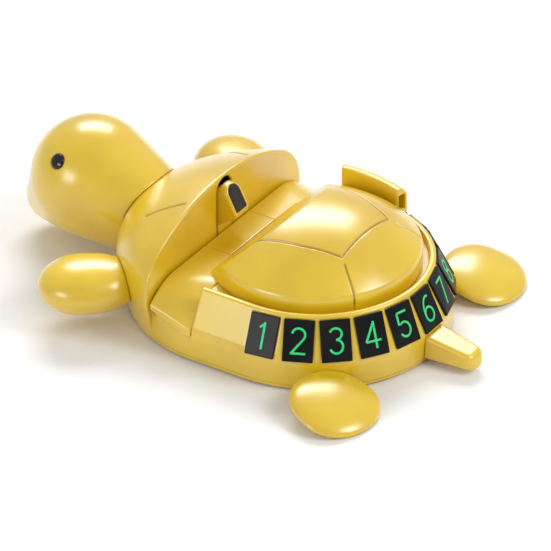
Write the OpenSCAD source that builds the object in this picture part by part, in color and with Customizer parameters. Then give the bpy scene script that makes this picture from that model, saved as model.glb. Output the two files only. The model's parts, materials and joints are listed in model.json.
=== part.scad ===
// Turtle-shaped game spinner: a lever in the shell starts a light that runs round
// eleven numbered windows and stops on one of them.
// The head points along -X, the tail along +X, and the turtle stands on z = 0.

/* [Body] */
// Radius of the number ring, at the top edge of the number tiles
ring_r = 60; // [56:1:72]
// Height of the top edge of the number tiles above the table
ring_z = 36; // [34:1:42]
// How far the front half of the body is moved forward of the number ring
body_stretch = 30; // [26:1:36]
// Wall of the moulded covers
wall = 2.2; // [1.8:0.1:2.6]
// Height of the lower edge of the upper shell above the table
shell_base_z = 3; // [2.6:0.1:4]

/* [Number ring] */
// Width of one number tile
tile_w = 15.2; // [12:0.1:15.6]
// Height of one number tile along the sloping skirt
tile_h = 21; // [19:0.1:22]
// Thickness of a number tile
tile_t = 1.4; // [1.2:0.1:1.8]
// How far a number tile stands out of its pocket
tile_proud = 0.8; // [0.4:0.1:1]
// Angle between two tiles
tile_pitch = 16.2; // [16:0.1:16.8]
// Horizontal spread of the skirt from the top to the foot of the tiles
skirt_flare = 9.4; // [8:0.1:11]
// Height of the numerals
numeral_h = 13.5; // [9:0.5:14]
// Line width of the numerals
numeral_line = 1.1; // [0.8:0.1:1.4]

/* [Front dome] */
// Largest radius of the front dome
front_r = 74.4; // [72:0.2:78]
// Height of the front dome above its widest line
front_h = 40.4; // [36:0.2:44]
// Height of the front dome's widest line above the table
front_z = 27; // [25:0.5:30]
// Radius of the front dome's rounded shoulder
front_side_r = 28; // [24:0.5:32]
// Distance of the dome's flat rear face from the ring's centre
face_x = 54; // [50:0.5:58]

/* [Rear dome] */
// Radius of the rear dome's edge
dome_r = 53.2; // [50:0.2:54]
// Height of the rear dome's edge above the table
dome_edge_z = 43.3; // [41:0.1:46]
// Height of the rear dome's top above the table
dome_top_z = 64.3; // [58:0.1:68]
// Slope of the ramp in front of the rear dome
ramp_angle = 45; // [38:1:50]
// Width and depth of the grooves between the shell plates
groove = 0.9; // [0.6:0.1:1.2]

/* [Saddle] */
// Height of the saddle between the two domes
saddle_z = 34; // [33:0.1:35]
// Distance of the saddle's front ridge from the flat face
saddle_gap = 1.2; // [0.8:0.1:2]
// Width of the cover over the lever's pivot
cover_w = 40; // [34:1:44]

/* [Lever] */
// Width of the thumb lever
lever_w = 12.4; // [10:0.2:14]
// Height of the lever's top above the table
lever_top_z = 61; // [56:0.5:61]
// Height of the lever's pivot above the table
pivot_z = 22; // [21:0.5:23]
// Distance of the pivot from the ring's centre
pivot_x = 50; // [49:0.5:51]
// Radius of the pivot pin
pin_r = 1.5; // [1.2:0.1:2]
// Travel of the lever, in degrees
lever_travel = 12; // [8:1:13]
// Gap on each side of the lever in its slot
lever_gap = 0.7; // [0.4:0.1:1.2]

/* [Head, flippers and tail] */
// Radius of the top of the head
head_r = 31.7; // [28:0.1:34]
// Radius of the muzzle
muzzle_r = 15.8; // [14:0.1:18]
// Radius of the neck
neck_r = 20.6; // [18:0.1:22]
// Radius of an eye
eye_r = 3.9; // [3:0.1:5]
// Half length of a front flipper
front_flipper_l = 25.7; // [24:0.1:30]
// Half length of a rear flipper
rear_flipper_l = 22.2; // [20:0.1:26]
// Half width of the tail at its root
tail_w = 9; // [7:0.2:10]
// Distance of the tail's tip from the ring's centre
tail_tip_x = 96; // [90:1:104]

/* [Inner parts] */
// Diameter of a battery cell
cell_d = 10.5; // [10:0.1:11]
// Length of a battery cell
cell_l = 44.5; // [43:0.5:46]
// Diameter of the loudspeaker
speaker_d = 28; // [24:1:30]
// Height of the circuit board above the table
board_z = 18.6; // [18.2:0.1:20]
// Travel of the power switch
switch_travel = 4; // [3:0.5:5]

/* [Hidden] */
TILES = 11;
$fn = 96;

YELLOW = [0.87, 0.74, 0.22];
BLACK = [0.03, 0.03, 0.035];
STEEL = [0.7, 0.7, 0.72];
big = 300;
eps = 0.01;

// Skirt that carries the tiles
skirt_drop = sqrt(tile_h * tile_h - skirt_flare * skirt_flare);
skirt_angle = atan(skirt_flare / skirt_drop);
foot_r = ring_r + skirt_flare;
foot_z = ring_z - skirt_drop;
base_r = foot_r - 0.4;
rim_w = 3.6;
rim_z = ring_z + 1.8;
floor_z = saddle_z - 0.5;
floor_r = ring_r - 15;

// Front dome: a flat top arc that runs into a round shoulder
side_x = front_r - front_side_r;
arc_rise = front_h - front_side_r;
arc_drop = (side_x * side_x - arc_rise * arc_rise) / (2 * arc_rise);
arc_r = arc_drop + front_h;
arc_sin = side_x / (arc_r - front_side_r);
shoulder_drop = 4;
low_r = side_x + sqrt(pow(front_side_r, 2) - pow(shoulder_drop, 2));

// Rear dome
dome_rise = dome_top_z - dome_edge_z;
dome_sphere_r = (dome_r * dome_r + dome_rise * dome_rise) / (2 * dome_rise);
dome_sphere_z = dome_top_z - dome_sphere_r;
fold_x = -dome_r * 0.677;
saddle_back_x = 1 - body_stretch;
ridge_x = saddle_gap - face_x;
saddle_t = 2.4;
wing_w = sqrt(pow(front_r, 2) - pow(face_x - body_stretch, 2));

// Head: three balls that one skin is drawn over
front_tip_x = -body_stretch - front_r;
head_at = [front_tip_x - 29.7, 0, 38.2];
muzzle_at = [front_tip_x - 51.9, 0, 20.9];
neck_at = [front_tip_x + 18, 0, 23.6];
eye_dir = [-0.138, -0.783, 0.607];

// Everything is placed so that the whole turtle is centred on x = 0
nose_x = min(muzzle_at[0] - muzzle_r, head_at[0] - head_r);
shift_x = -(nose_x + tail_tip_x) / 2;

// Base
pan_z = 1.2;
pan_t = shell_base_z - pan_z;
pan_top = pan_z + pan_t;
lip_h = 3;
foot_pad_r = 6;
foot_pad_t = 2.2;
foot_place_r = base_r - 15;
screw_r = 1.25;
pilot_r = 1.3;
screw_hole_r = 1.6;
screw_head_r = 2.8;
// Height of the screws whose heads sit just over the pan's lip
low_screw_z = pan_top + lip_h + screw_head_r + 0.4;
screw_head_t = 1.8;

// Screws: angles that lie between two tiles, and radii
case_screw_angles = [-72.9, -24.3, 24.3, 72.9];
case_screw_r = ring_r - 7.5;
front_screw_angles = [140, 220];
front_screw_r = 56;
dome_screw_angles = [-100, -40.5, 40.5, 100];
dome_screw_r = dome_r - 4.6;
board_r_out = ring_r - 14;
board_r_in = board_r_out - 16;
board_screw_r = (board_r_out + board_r_in) / 2;
board_screw_at = [for (s = [-1, 1]) board_screw_r * [cos(42), s * sin(42)]];

// Lever
spring_x = pivot_x + 11.5;
spring_wire = 0.8;
spring_r = 3;
arm_bottom = pivot_z - 4;
pin_len = lever_w + 14;
post_w = 4;
hub_r = 4.2;
switch_side = 6;
switch_y = 9;
switch_z = arm_bottom - 14 * sin(lever_travel) - 0.25;

// Battery box, across the turtle
cells = 3;
box_wall = 1.4;
box_l = cell_l + 6;
box_w = cells * cell_d + 1.6;
box_x = 2;
box_top = pan_top + cell_d + 2;
door_l = box_l + 3;
door_w = box_w + 14;
door_t = 2;
door_screw_x = box_x + box_w / 2 + 3.6;
fit = 0.2;

module yellow() { color(YELLOW) translate([shift_x, 0, 0]) children(); }
module black() { color(BLACK) translate([shift_x, 0, 0]) children(); }
module steel() { color(STEEL) translate([shift_x, 0, 0]) children(); }
module placed(c) { color(c) translate([shift_x, 0, 0]) children(); }

// ---- outlines and solids that several parts share ----

// Oval of the body, with a radius r at each end
module oval(r) {
  circle(r);
  translate([-body_stretch, 0]) circle(r);
  translate([-body_stretch, -r]) square([body_stretch, 2 * r]);
}

// Sweeps a profile of radius and height round the oval
module oval_sweep() {
  rotate([0, 0, -90]) rotate_extrude(angle = 180) children();
  translate([-body_stretch, 0, 0]) rotate([0, 0, 90]) rotate_extrude(angle = 180) children();
  for (m = [0, 1]) mirror([0, m, 0])
    translate([-body_stretch, 0, 0]) rotate([90, 0, 90]) linear_extrude(body_stretch) children();
}

// Solid front dome, shrunk by s
module dome_solid(s = 0) {
  top_r = side_x + (front_side_r - s) * arc_sin;
  low = front_z - shell_base_z;
  translate([-body_stretch, 0, front_z]) {
    intersection() {
      translate([0, 0, -arc_drop]) sphere(arc_r - s, $fn = 160);
      cylinder(r = top_r, h = front_h + 1);
    }
    rotate_extrude() translate([side_x, 0]) circle(front_side_r - s);
    translate([0, 0, -shoulder_drop - eps]) cylinder(r = side_x + 2, h = shoulder_drop + 2 * eps);
    translate([0, 0, -low]) cylinder(
      r1 = base_r - s, r2 = side_x + sqrt(pow(front_side_r - s, 2) - pow(shoulder_drop, 2)),
      h = low - shoulder_drop);
  }
}

// Solid skirt with its rim, shrunk by s
module skirt_solid(s = 0) {
  translate([0, 0, shell_base_z]) linear_extrude(0.1) oval(base_r - s);
  oval_sweep() polygon([
    [0, shell_base_z], [base_r - s, shell_base_z], [foot_r - s, foot_z],
    [ring_r - s, ring_z], [0, ring_z]]);
}

// Half space in front of (more negative x than) the dome's flat face
module front_half(x = face_x) {
  translate([-x - big, -big / 2, -1]) cube([big, big, big]);
}

// Place on the skirt at a given angle: +X outwards, +Y along the ring, +Z up the slope
module on_skirt(a) {
  rotate([0, 0, a]) translate([ring_r, 0, ring_z]) rotate([0, -skirt_angle, 0]) children();
}

module at_angles(list, r) {
  for (a = list) rotate([0, 0, a]) translate([r, 0, 0]) children();
}

module at_front_angles(list, r) {
  translate([-body_stretch, 0, 0]) at_angles(list, r) children();
}

// Pose of each limb: centre, half sizes, turn about the vertical, and tilt
front_flipper = [
  [-body_stretch - 0.89 * foot_r, 0.9525 * foot_r, 22.5], [front_flipper_l, 20.5, 13.7], 139.5, 0];
rear_flipper = [[0.804 * foot_r, 1.0115 * foot_r, 6.4], [rear_flipper_l, 23.4, 6.2], 8, 15.5];
flipper_low_z = 0.6;
front_limb_angle = 133;
rear_limb_angle = 52;

// Egg with its blunt end outwards, shrunk by s, at a limb's pose
module egg_at(pose, s) {
  size = pose[1];
  translate(pose[0]) rotate([0, 0, pose[2]]) rotate([0, pose[3], 0]) hull() {
    translate([size[0] * 0.12, 0, 0]) scale([size[0] * 0.88 - s, size[1] - s, size[2] - s])
      sphere(1, $fn = 28);
    translate([-size[0] * 0.35, 0, 0]) scale([size[0] * 0.65 - s, size[1] * 0.86 - s, size[2] * 0.88 - s])
      sphere(1, $fn = 28);
  }
}

// What the limbs are trimmed to: the outside of the upper shell, grown by s
module limb_cutter(s = 0) {
  intersection() { dome_solid(-s); front_half(body_stretch + 20); }
  skirt_solid(-s);
  translate([0, 0, -eps]) linear_extrude(shell_base_z + 2 * eps) oval(base_r + s);
}

// Radial frame through a limb's root: +X outwards along the ground, origin on the axis
module limb_axis(front, side) {
  a = side * (front ? front_limb_angle : rear_limb_angle);
  translate([front ? -body_stretch : 0, 0, 0]) rotate([0, 0, a]) children();
}

front_limb_screw_z = 20;
rear_limb_screw_z = low_screw_z;
limb_boss_l = 12;
limb_boss_r = 3.4;

// Radius of the front dome's lower side at a height z
function flank_r(z) = base_r + (z - shell_base_z) * (low_r - base_r) / (front_z - shell_base_z - shoulder_drop);

// Moves to the outer skin of the body at a limb's screw, +X outwards
module limb_root(front, side) limb_axis(front, side)
  translate([front ? flank_r(front_limb_screw_z) : base_r, 0, front ? front_limb_screw_z : rear_limb_screw_z])
    children();

module limb_boss(front) {
  limb_root(front, 1) rotate([0, 90, 0]) cylinder(r = limb_boss_r, h = limb_boss_l);
}

// Everything above a height z
module above(z) translate([-big / 2, -big / 2, z]) cube(big);

module flipper(pose, front, side) {
  mirror([0, side < 0 ? 1 : 0, 0]) difference() {
    union() {
      difference() {
        intersection() {
          egg_at(pose, 0);
          above(flipper_low_z);
        }
        difference() {
          egg_at(pose, wall);
          limb_cutter(wall);
          mirror([0, 0, 1]) above(-flipper_low_z - wall);
        }
      }
      limb_boss(front);
    }
    limb_cutter();
    limb_root(front, 1) rotate([0, 90, 0]) cylinder(r = pilot_r, h = limb_boss_l - 2);
    // clear of the tiles that stand out of the skirt
    for (k = [1 : TILES]) on_skirt((k - 6) * tile_pitch) tile_slab(0.3, -1, tile_proud + 0.3);
  }
}

// ---- covers ----

module base_pan() yellow() difference() {
  union() {
    translate([0, 0, pan_z]) linear_extrude(pan_t) oval(base_r - 0.6);
    // locating lip inside the upper shell
    translate([0, 0, pan_top - eps]) linear_extrude(lip_h) difference() {
      oval(base_r - wall - fit);
      oval(base_r - wall - fit - 1.6);
    }
    // battery box
    translate([box_x - box_w / 2 - box_wall, -box_l / 2 - box_wall, pan_z])
      cube([box_w + 2 * box_wall, box_l + 2 * box_wall, box_top + box_wall - pan_z]);
    // pillars under the circuit board
    for (p = board_screw_at) translate([p[0], p[1], pan_z]) cylinder(r = 3.2, h = board_z - pan_z);
    // two posts that carry the lever's pin
    for (s = [-1, 1]) translate([-pivot_x - 4, s * (lever_w / 2 + 1 + post_w / 2) - post_w / 2, pan_z])
      cube([8, post_w, pivot_z + 4 - pan_z]);
    // seat of the spring
    translate([-spring_x, 0, pan_z]) cylinder(r = spring_r + 1.6, h = pan_t + 1.4);
    // ring that holds the loudspeaker
    translate([-speaker_x, 0, pan_z]) cylinder(r = speaker_d / 2 + 1.6, h = pan_t + 4);
    // boss for the battery door's screw
    translate([door_screw_x, 0, pan_z]) cylinder(r = 3, h = 9.5);
    // collars round the screw heads
    case_screw_places() translate([0, 0, pan_z]) cylinder(r = 4.4, h = pan_t + 1.2);
  }
  // cells' space and the opening that the door closes
  translate([box_x - box_w / 2, -box_l / 2, pan_z - 1])
    cube([box_w, box_l, box_top - pan_z + 1]);
  translate([box_x - door_w / 2 - fit, -door_l / 2 - fit, pan_z - 1])
    cube([door_w + 2 * fit, door_l + 2 * fit, door_t + 1]);
  translate([door_screw_x, 0, 0]) cylinder(r = pilot_r, h = 10);
  for (p = board_screw_at) translate([p[0], p[1], pan_top + 2]) cylinder(r = pilot_r, h = 20);
  translate([-pivot_x, 0, pivot_z]) rotate([90, 0, 0]) cylinder(r = pin_r, h = pin_len, center = true);
  translate([-spring_x, 0, pan_top]) cylinder(r = spring_r + 0.6, h = 5);
  translate([-speaker_x, 0, pan_top]) cylinder(r = speaker_d / 2 + 0.1, h = 10);
  speaker_holes();
  case_screw_places() {
    translate([0, 0, 0]) cylinder(r = screw_hole_r, h = 10);
    translate([0, 0, pan_z - 1]) cylinder(r = screw_head_r + 0.3, h = 1 + screw_head_t + 0.2);
  }
  foot_places() translate([0, 0, pan_z - 1]) cylinder(r = foot_pad_r + 0.1, h = 1 + foot_pad_t - pan_z);
  // slot and recess of the power switch
  translate([switch_at[0], switch_at[1], 0]) {
    translate([-6 - switch_travel / 2, -4, pan_z - 1]) cube([12 + switch_travel, 8, 1 + 1]);
    translate([-2.2 - switch_travel / 2, -1.6, 0]) cube([4.4 + switch_travel, 3.2, 6]);
  }
}

speaker_x = body_stretch + base_r - 19;
switch_at = [-body_stretch - 4, 0.61 * base_r];

module speaker_holes() {
  translate([-speaker_x, 0, 0]) {
    cylinder(r = 1.2, h = 6);
    for (ring = [[4.2, 6], [8.4, 12]]) for (k = [1 : ring[1]])
      rotate([0, 0, 360 / ring[1] * k]) translate([ring[0], 0, 0]) cylinder(r = 1.2, h = 6);
  }
}

module case_screw_places() {
  at_angles(case_screw_angles, case_screw_r) children();
  at_front_angles(front_screw_angles, front_screw_r) children();
}

module foot_places() {
  for (s = [-1, 1]) {
    rotate([0, 0, s * 48]) translate([foot_place_r, 0, 0]) children();
    translate([-body_stretch, 0, 0]) rotate([0, 0, s * 118]) translate([foot_place_r, 0, 0]) children();
  }
}

// Profile of the skirt, the rim, and the floor under the dome's edge
module skirt_profile() {
  polygon([
    [base_r, shell_base_z], [foot_r, foot_z], [ring_r, ring_z], [ring_r - 0.6, rim_z - 0.5],
    [ring_r - 1.2, rim_z], [ring_r - rim_w, rim_z], [ring_r - rim_w, floor_z], [floor_r, floor_z],
    [floor_r, floor_z - wall], [ring_r - wall - 0.4, floor_z - wall],
    [foot_r - wall, foot_z], [base_r - wall, shell_base_z]]);
}

module tile_slab(grow, from, to) {
  translate([from, -tile_w / 2 - grow, -tile_h - grow])
    cube([to - from, tile_w + 2 * grow, tile_h + 2 * grow]);
}

// Saddle's side wing: from the ridge's end back to the skirt
module wing() {
  back = saddle_back_x;
  hull() {
    for (p = [
      [back, ring_r - 2.4, rim_z - 0.6], [back, foot_r - 0.8, foot_z + 1],
      [back, ring_r - 7, rim_z - 3], [back, foot_r - 4, foot_z + 1],
      [ridge_x, wing_w - 1.2, saddle_z - 0.4], [ridge_x, wing_w - 4, front_z],
      [ridge_x, wing_w - 10.4, saddle_z - 2.4], [ridge_x, wing_w - 7.8, front_z]])
      translate([p[0] - (p[0] == back ? 0.5 : 0), p[1] - 0.25, p[2] - 0.25]) cube([0.5, 0.5, 0.5]);
  }
}

// Hood over the sound outlet: a raised rib on the rim, with a recessed mouth at its tail end
hood_top = rim_z + 14.2;
hood_from = 66;
hood_to = 110;
module hood_profile() {
  polygon([
    [dome_r + 1, floor_z], [dome_r + 1, hood_top - 1.5], [dome_r + 2.6, hood_top],
    [ring_r - 1.6, hood_top], [ring_r + 1.4, hood_top - 3.4], [ring_r + 1.8, ring_z - 2], [ring_r - 2, floor_z]]);
}
module hood_mouth() {
  polygon([
    [dome_r + 2.2, rim_z + 0.8], [dome_r + 2.2, hood_top - 2], [ring_r - 2, hood_top - 1.4],
    [ring_r + 0.2, hood_top - 4], [ring_r + 0.2, rim_z + 0.8]]);
}
module hood() rotate([0, 0, hood_from]) difference() {
  rotate_extrude(angle = hood_to - hood_from) hood_profile();
  rotate([0, 0, -1]) rotate_extrude(angle = 8) hood_mouth();
}

module upper_shell() yellow() difference() {
  union() {
    // skirt, rim and floor, open where the saddle and the front dome take over
    difference() {
      oval_sweep() skirt_profile();
      front_half();
      translate([-big + saddle_back_x, -big / 2, floor_z - wall - 4]) cube([big, big, big]);
      for (m = [0, 1]) mirror([0, m, 0]) wing();
    }
    // front dome
    intersection() {
      difference() {
        dome_solid(0);
        dome_solid(wall);
        translate([-body_stretch, 0, -1]) cylinder(r = base_r - wall, h = shell_base_z + 1.5);
      }
      front_half();
    }
    // its flat face
    intersection() {
      dome_solid(0.01);
      translate([-face_x - wall, -big / 2, foot_z]) cube([wall, big, big]);
    }
    hood();
    // screw bosses
    at_angles(case_screw_angles, case_screw_r) translate([0, 0, pan_top + 1.4])
      cylinder(r = 3.1, h = floor_z - wall - pan_top - 1.4 + eps);
    intersection() {
      at_front_angles(front_screw_angles, front_screw_r) translate([0, 0, pan_top + 1.4])
        cylinder(r = 3.1, h = 80);
      dome_solid(0.5);
    }
  }
  // pockets and light holes of the tiles
  for (k = [1 : TILES]) on_skirt((k - 6) * tile_pitch) {
    tile_slab(0.1, tile_proud - tile_t, 4);
    translate([-6, 0, -tile_h / 2]) rotate([0, 90, 0]) cylinder(r = 3.2, h = 8);
  }
  // pilot holes of the case screws
  case_screw_places() translate([0, 0, pan_top]) cylinder(r = pilot_r, h = 14);
  // holes for the screws of the rear shell
  at_angles(dome_screw_angles, dome_screw_r) translate([0, 0, floor_z - wall - 1])
    cylinder(r = screw_hole_r, h = wall + 2);
  // lever slot, arched at the top
  translate([-face_x - wall - 1, 0, 0]) rotate([90, 0, 90]) linear_extrude(wall + 2) slot_outline();
  // holes for the limb screws
  limb_screw_places() translate([-20, 0, 0]) rotate([0, 90, 0]) cylinder(r = screw_hole_r, h = 40);
}

slot_w = lever_w + 2 * lever_gap;
slot_top = lever_top_z + 2.2;
module slot_outline() {
  translate([-slot_w / 2, foot_z - 1]) square([slot_w, slot_top - slot_w / 2 - foot_z + 1]);
  translate([0, slot_top - slot_w / 2]) circle(slot_w / 2);
}

// +X points out of the body at each limb, with the origin on the outer skin
module limb_screw_places() {
  for (s = [-1, 1]) {
    limb_root(true, s) children();
    limb_root(false, s) children();
    translate([head_boss_x, s * head_boss_y, head_boss_z]) rotate([0, 0, 180]) children();
  }
  translate([base_r, 0, tail_screw_z]) children();
}

// Rear dome with the ramp cut across its front, shrunk by s
module dome_block(s = 0) intersection() {
  translate([0, 0, dome_sphere_z]) sphere(dome_sphere_r - s, $fn = 160);
  translate([0, 0, floor_z - (s > 0 ? 6 : 0)]) cylinder(r = dome_r - s, h = 60);
  translate([fold_x, 0, saddle_z]) rotate([0, -ramp_angle, 0])
    translate([-10, -big / 2, -big - s]) cube(big);
}

module saddle_plan() {
  polygon([[ridge_x, 2.4 - wing_w], [ridge_x, wing_w - 2.4], [saddle_back_x, ring_r - 3.4], [saddle_back_x, 3.4 - ring_r]]);
}

// Lines of the shell plates, cut into the dome from above
module plate_groove(a, b) {
  d = b - a;
  translate([a[0], a[1], 0]) rotate([0, 0, atan2(d[1], d[0])])
    translate([0, -groove / 2, 0]) cube([norm(d), groove, 100]);
}
plate_a = dome_r * [-0.286, 0.596];
plate_b = dome_r * [0.54, 0.4];
plate_c = dome_r * [0.17, 0.517];
module plate_grooves() {
  for (m = [0, 1]) mirror([0, m, 0]) {
    plate_groove(plate_a, plate_c);
    plate_groove(plate_c, plate_b);
    plate_groove(plate_b * 1.1, plate_b * 1.62);
  }
  plate_groove([plate_b[0], -plate_b[1]], plate_b);
}

module rear_shell() yellow() difference() {
  union() {
    dome_block(0);
    translate([0, 0, saddle_z - saddle_t]) linear_extrude(saddle_t) saddle_plan();
    for (m = [0, 1]) mirror([0, m, 0]) wing();
  }
  difference() {
    translate([0, 0, -saddle_t]) intersection() {
      translate([0, 0, saddle_t]) dome_block(wall);
      translate([-big / 2, -big / 2, 0]) cube(big);
    }
    at_angles(dome_screw_angles, dome_screw_r) cylinder(r = 3, h = 80);
  }
  at_angles(dome_screw_angles, dome_screw_r) cylinder(r = pilot_r, h = floor_z + 6);
  // opening that the lever cover closes
  translate([ridge_x - 1, -cover_w / 2, 0]) cube([fold_x - ridge_x - 1, cover_w, saddle_z + 1]);
  intersection() {
    plate_grooves();
    difference() {
      dome_block(-1);
      dome_block(0.5);
    }
  }
}

module lever_cover() yellow() {
  l = fold_x - 2 - ridge_x - fit;
  translate([ridge_x, -cover_w / 2 + fit, saddle_z - saddle_t]) cube([l, cover_w - 2 * fit, saddle_t]);
  translate([ridge_x, -cover_w / 2 - 3, saddle_z - saddle_t - 1.6]) cube([l, cover_w + 6, 1.6]);
}

// ---- head, eyes, flippers and tail ----

module head_skin() hull() {
  translate(head_at) sphere(head_r, $fn = 48);
  translate(muzzle_at) sphere(muzzle_r, $fn = 48);
  translate(neck_at) sphere(neck_r, $fn = 48);
}

module ball_rod(a, ra, b, rb) {
  d = b - a;
  translate(a) rotate([0, acos(d[2] / norm(d)), atan2(d[1], d[0])]) cylinder(r1 = ra, r2 = rb, h = norm(d));
}

module head_hollow() {
  translate(head_at) sphere(head_r - wall);
  translate(muzzle_at) sphere(muzzle_r - wall);
  translate(neck_at) sphere(neck_r - wall);
  ball_rod(head_at, head_r - wall - 1, muzzle_at, muzzle_r - wall - 1);
  ball_rod(head_at, head_r - wall - 1.5, neck_at, neck_r - wall - 1.5);
}

head_boss_y = 9;
head_boss_z = 20;
head_boss_x = 0.6 - body_stretch - flank_r(head_boss_z);
module head() yellow() difference() {
  union() {
    difference() {
      head_skin();
      difference() {
        head_hollow();
        limb_cutter(wall);
      }
    }
    head_boss_places() cylinder(r = limb_boss_r, h = limb_boss_l);
  }
  limb_cutter();
  head_boss_places() cylinder(r = pilot_r, h = limb_boss_l - 2);
  for (s = [-1, 1]) eye_place(s) translate([0, 0, -1.6]) cylinder(r = eye_r + 0.05, h = 6);
}

// +Z points forward from the shell's skin, along each of the head's two screws
module head_boss_places() for (s = [-1, 1])
  translate([head_boss_x, s * head_boss_y, head_boss_z]) rotate([0, -90, 0]) children();

// +Z points out of the head through the middle of an eye
module eye_place(side) {
  dir = [eye_dir[0], -side * eye_dir[1], eye_dir[2]];
  translate(head_at + dir * head_r)
    rotate([0, acos(dir[2] / norm(dir)), atan2(dir[1], dir[0])]) children();
}

module eye(side) black() eye_place(side) intersection() {
  translate([0, 0, -1.6]) cylinder(r = eye_r, h = 6);
  translate([0, 0, 1 - 8]) sphere(8);
}
module eye_left() eye(-1);
module eye_right() eye(1);

module flipper_front_left() yellow() flipper(front_flipper, true, -1);
module flipper_front_right() yellow() flipper(front_flipper, true, 1);
module flipper_rear_left() yellow() flipper(rear_flipper, false, -1);
module flipper_rear_right() yellow() flipper(rear_flipper, false, 1);

tail_end_r = 6.4;
tail_root_x = base_r - 9;
tail_screw_z = low_screw_z;
module tail() yellow() difference() {
  intersection() {
    linear_extrude(40) {
      polygon([[tail_root_x, -tail_w], [tail_tip_x - tail_end_r, -tail_end_r], [tail_tip_x - tail_end_r, tail_end_r],
        [tail_root_x, tail_w]]);
      translate([tail_tip_x - tail_end_r, 0]) circle(tail_end_r);
    }
    translate([0, 20, 0]) rotate([90, 0, 0]) linear_extrude(40)
      polygon([
        [tail_root_x, 3], [tail_tip_x - 3, 3], [tail_tip_x, 6], [tail_tip_x, 9.6],
        [tail_tip_x - 3, 11.4], [tail_root_x, 17.6]]);
  }
  limb_cutter();
  translate([tail_root_x, 0, tail_screw_z]) rotate([0, 90, 0])
    cylinder(r = pilot_r, h = base_r - tail_root_x + limb_boss_l);
}

// ---- number ring ----

module number_tile(k) black() on_skirt((k - 6) * tile_pitch)
  tile_slab(0, tile_proud - tile_t, tile_proud);

// One straight line of a numeral
module bar(p, q) {
  d = q - p;
  translate(p) rotate(atan2(d[1], d[0])) translate([0, -numeral_line / 2]) square([norm(d), numeral_line]);
}
function arc_points(c, rx, ry, a, b, n = 14) =
  [for (i = [0 : n]) c + [rx * cos(a + (b - a) * i / n), ry * sin(a + (b - a) * i / n)]];
// One curved line of a numeral, from angle a to angle b
module bend(c, rx, ry, a, b) {
  h = numeral_line / 2;
  if (b - a >= 360) difference() {
    polygon(arc_points(c, rx + h, ry + h, a, b - 18, 19));
    polygon(arc_points(c, rx - h, ry - h, a, b - 18, 19));
  } else polygon(concat(arc_points(c, rx + h, ry + h, a, b), arc_points(c, rx - h, ry - h, b, a)));
}

// Numerals are drawn in a box 6 wide and numeral_h high, centred on x = 0
module digit(n) {
  t = numeral_h - numeral_line / 2;
  b = numeral_line / 2;
  m = numeral_h * 0.54;
  w = numeral_h * 0.24;
  up = (t - m) / 2;
  lo = (m - b) / 2;
  if (n == 0) bend([0, (t + b) / 2], w, (t - b) / 2, 0, 360);
  if (n == 1) {
    bar([0.6, 0], [0.6, numeral_h]);
    bar([0.6, t - 0.2], [-1.7, t - 2.4]);
  }
  if (n == 2) {
    bend([0, t - w], w, w, -32, 170);
    bar([w * 0.85, t - w * 1.53], [-w, b]);
    bar([-w - b, b], [w + b, b]);
  }
  if (n == 3) {
    bend([0, m + up], w * 0.92, up, -90, 160);
    bend([0, b + lo], w, lo, -160, 90);
  }
  if (n == 4) {
    bar([w * 0.45, 0], [w * 0.45, numeral_h]);
    bar([w * 0.45, t], [-w - b, numeral_h * 0.28]);
    bar([-w - b, numeral_h * 0.28], [w + 1, numeral_h * 0.28]);
  }
  if (n == 5) {
    bar([-w * 0.8, t], [w, t]);
    bar([-w * 0.8, t], [-w * 0.9, m - 0.3]);
    bend([0, b + lo + 0.3], w, lo + 0.3, -155, 128);
  }
  if (n == 6) {
    bend([0, b + lo + 0.2], w, lo + 0.2, 0, 360);
    bend([w * 0.5, b + lo + 0.2], w * 1.5, t - b - lo - 0.2, 75, 180);
  }
  if (n == 7) {
    bar([-w, t], [w + b, t]);
    bar([w, t], [-w * 0.3, 0]);
  }
  if (n == 8) {
    bend([0, m + up], w * 0.88, up, 0, 360);
    bend([0, b + lo], w, lo, 0, 360);
  }
  if (n == 9) translate([0, numeral_h]) rotate(180) digit(6);
  if (n >= 10) {
    translate([-3.1, 0]) digit(1);
    translate([2.8, 0]) digit(n - 10);
  }
}

numeral_t = 0.15;
module numerals() placed([0.2, 0.85, 0.4]) for (k = [1 : TILES]) on_skirt((k - 6) * tile_pitch)
  translate([tile_proud, 0, -(tile_h + numeral_h) / 2]) rotate([90, 0, 90]) linear_extrude(numeral_t) digit(k);

// ---- lever ----
// How far the foot of the thumb pad is below the lever's top
pad_drop = 13.6;

module lever_outline() {
  x0 = -face_x;
  polygon([
    [x0 + 0.4, pivot_z - 2], [x0 - 4.2, pivot_z + 6], [x0 - 4.4, lever_top_z - 20], [x0 - 3, lever_top_z - 4],
    [x0 + 0.5, lever_top_z], [x0 + 4, lever_top_z - 1], [x0 + 10.6, lever_top_z - pad_drop],
    [x0 + 10.2, lever_top_z - pad_drop - 2.2], [x0 + 0.5, saddle_z + 4.5], [x0 + 0.5, pivot_z + 8], [-pivot_x + 1, pivot_z + 3]]);
  translate([-pivot_x, pivot_z]) circle(hub_r);
  // arm over the spring and the trigger switch
  translate([-spring_x - 3, arm_bottom]) square([spring_x - pivot_x + 3, 3]);
}
pad_len = 13.8;
pad_w = 8.6;
pad_t = 1.6;
pad_angle = atan2(12.6, 6.6);
// +Z points up along the pad's face, +X out of it
module pad_place() translate([10.6 - face_x, 0, lever_top_z - pad_drop]) rotate([0, -(90 - pad_angle), 0])
  translate([0, 0, 0.6]) children();
module pad_outline() {
  translate([-pad_w / 2, 0]) square([pad_w, pad_len - pad_w / 2]);
  translate([0, pad_len - pad_w / 2]) circle(pad_w / 2);
}
module pad_solid(s) pad_place() translate([-pad_t - s, 0, 0]) rotate([90, 0, 90])
  linear_extrude(pad_t + 0.6 + s) pad_outline();

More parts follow.
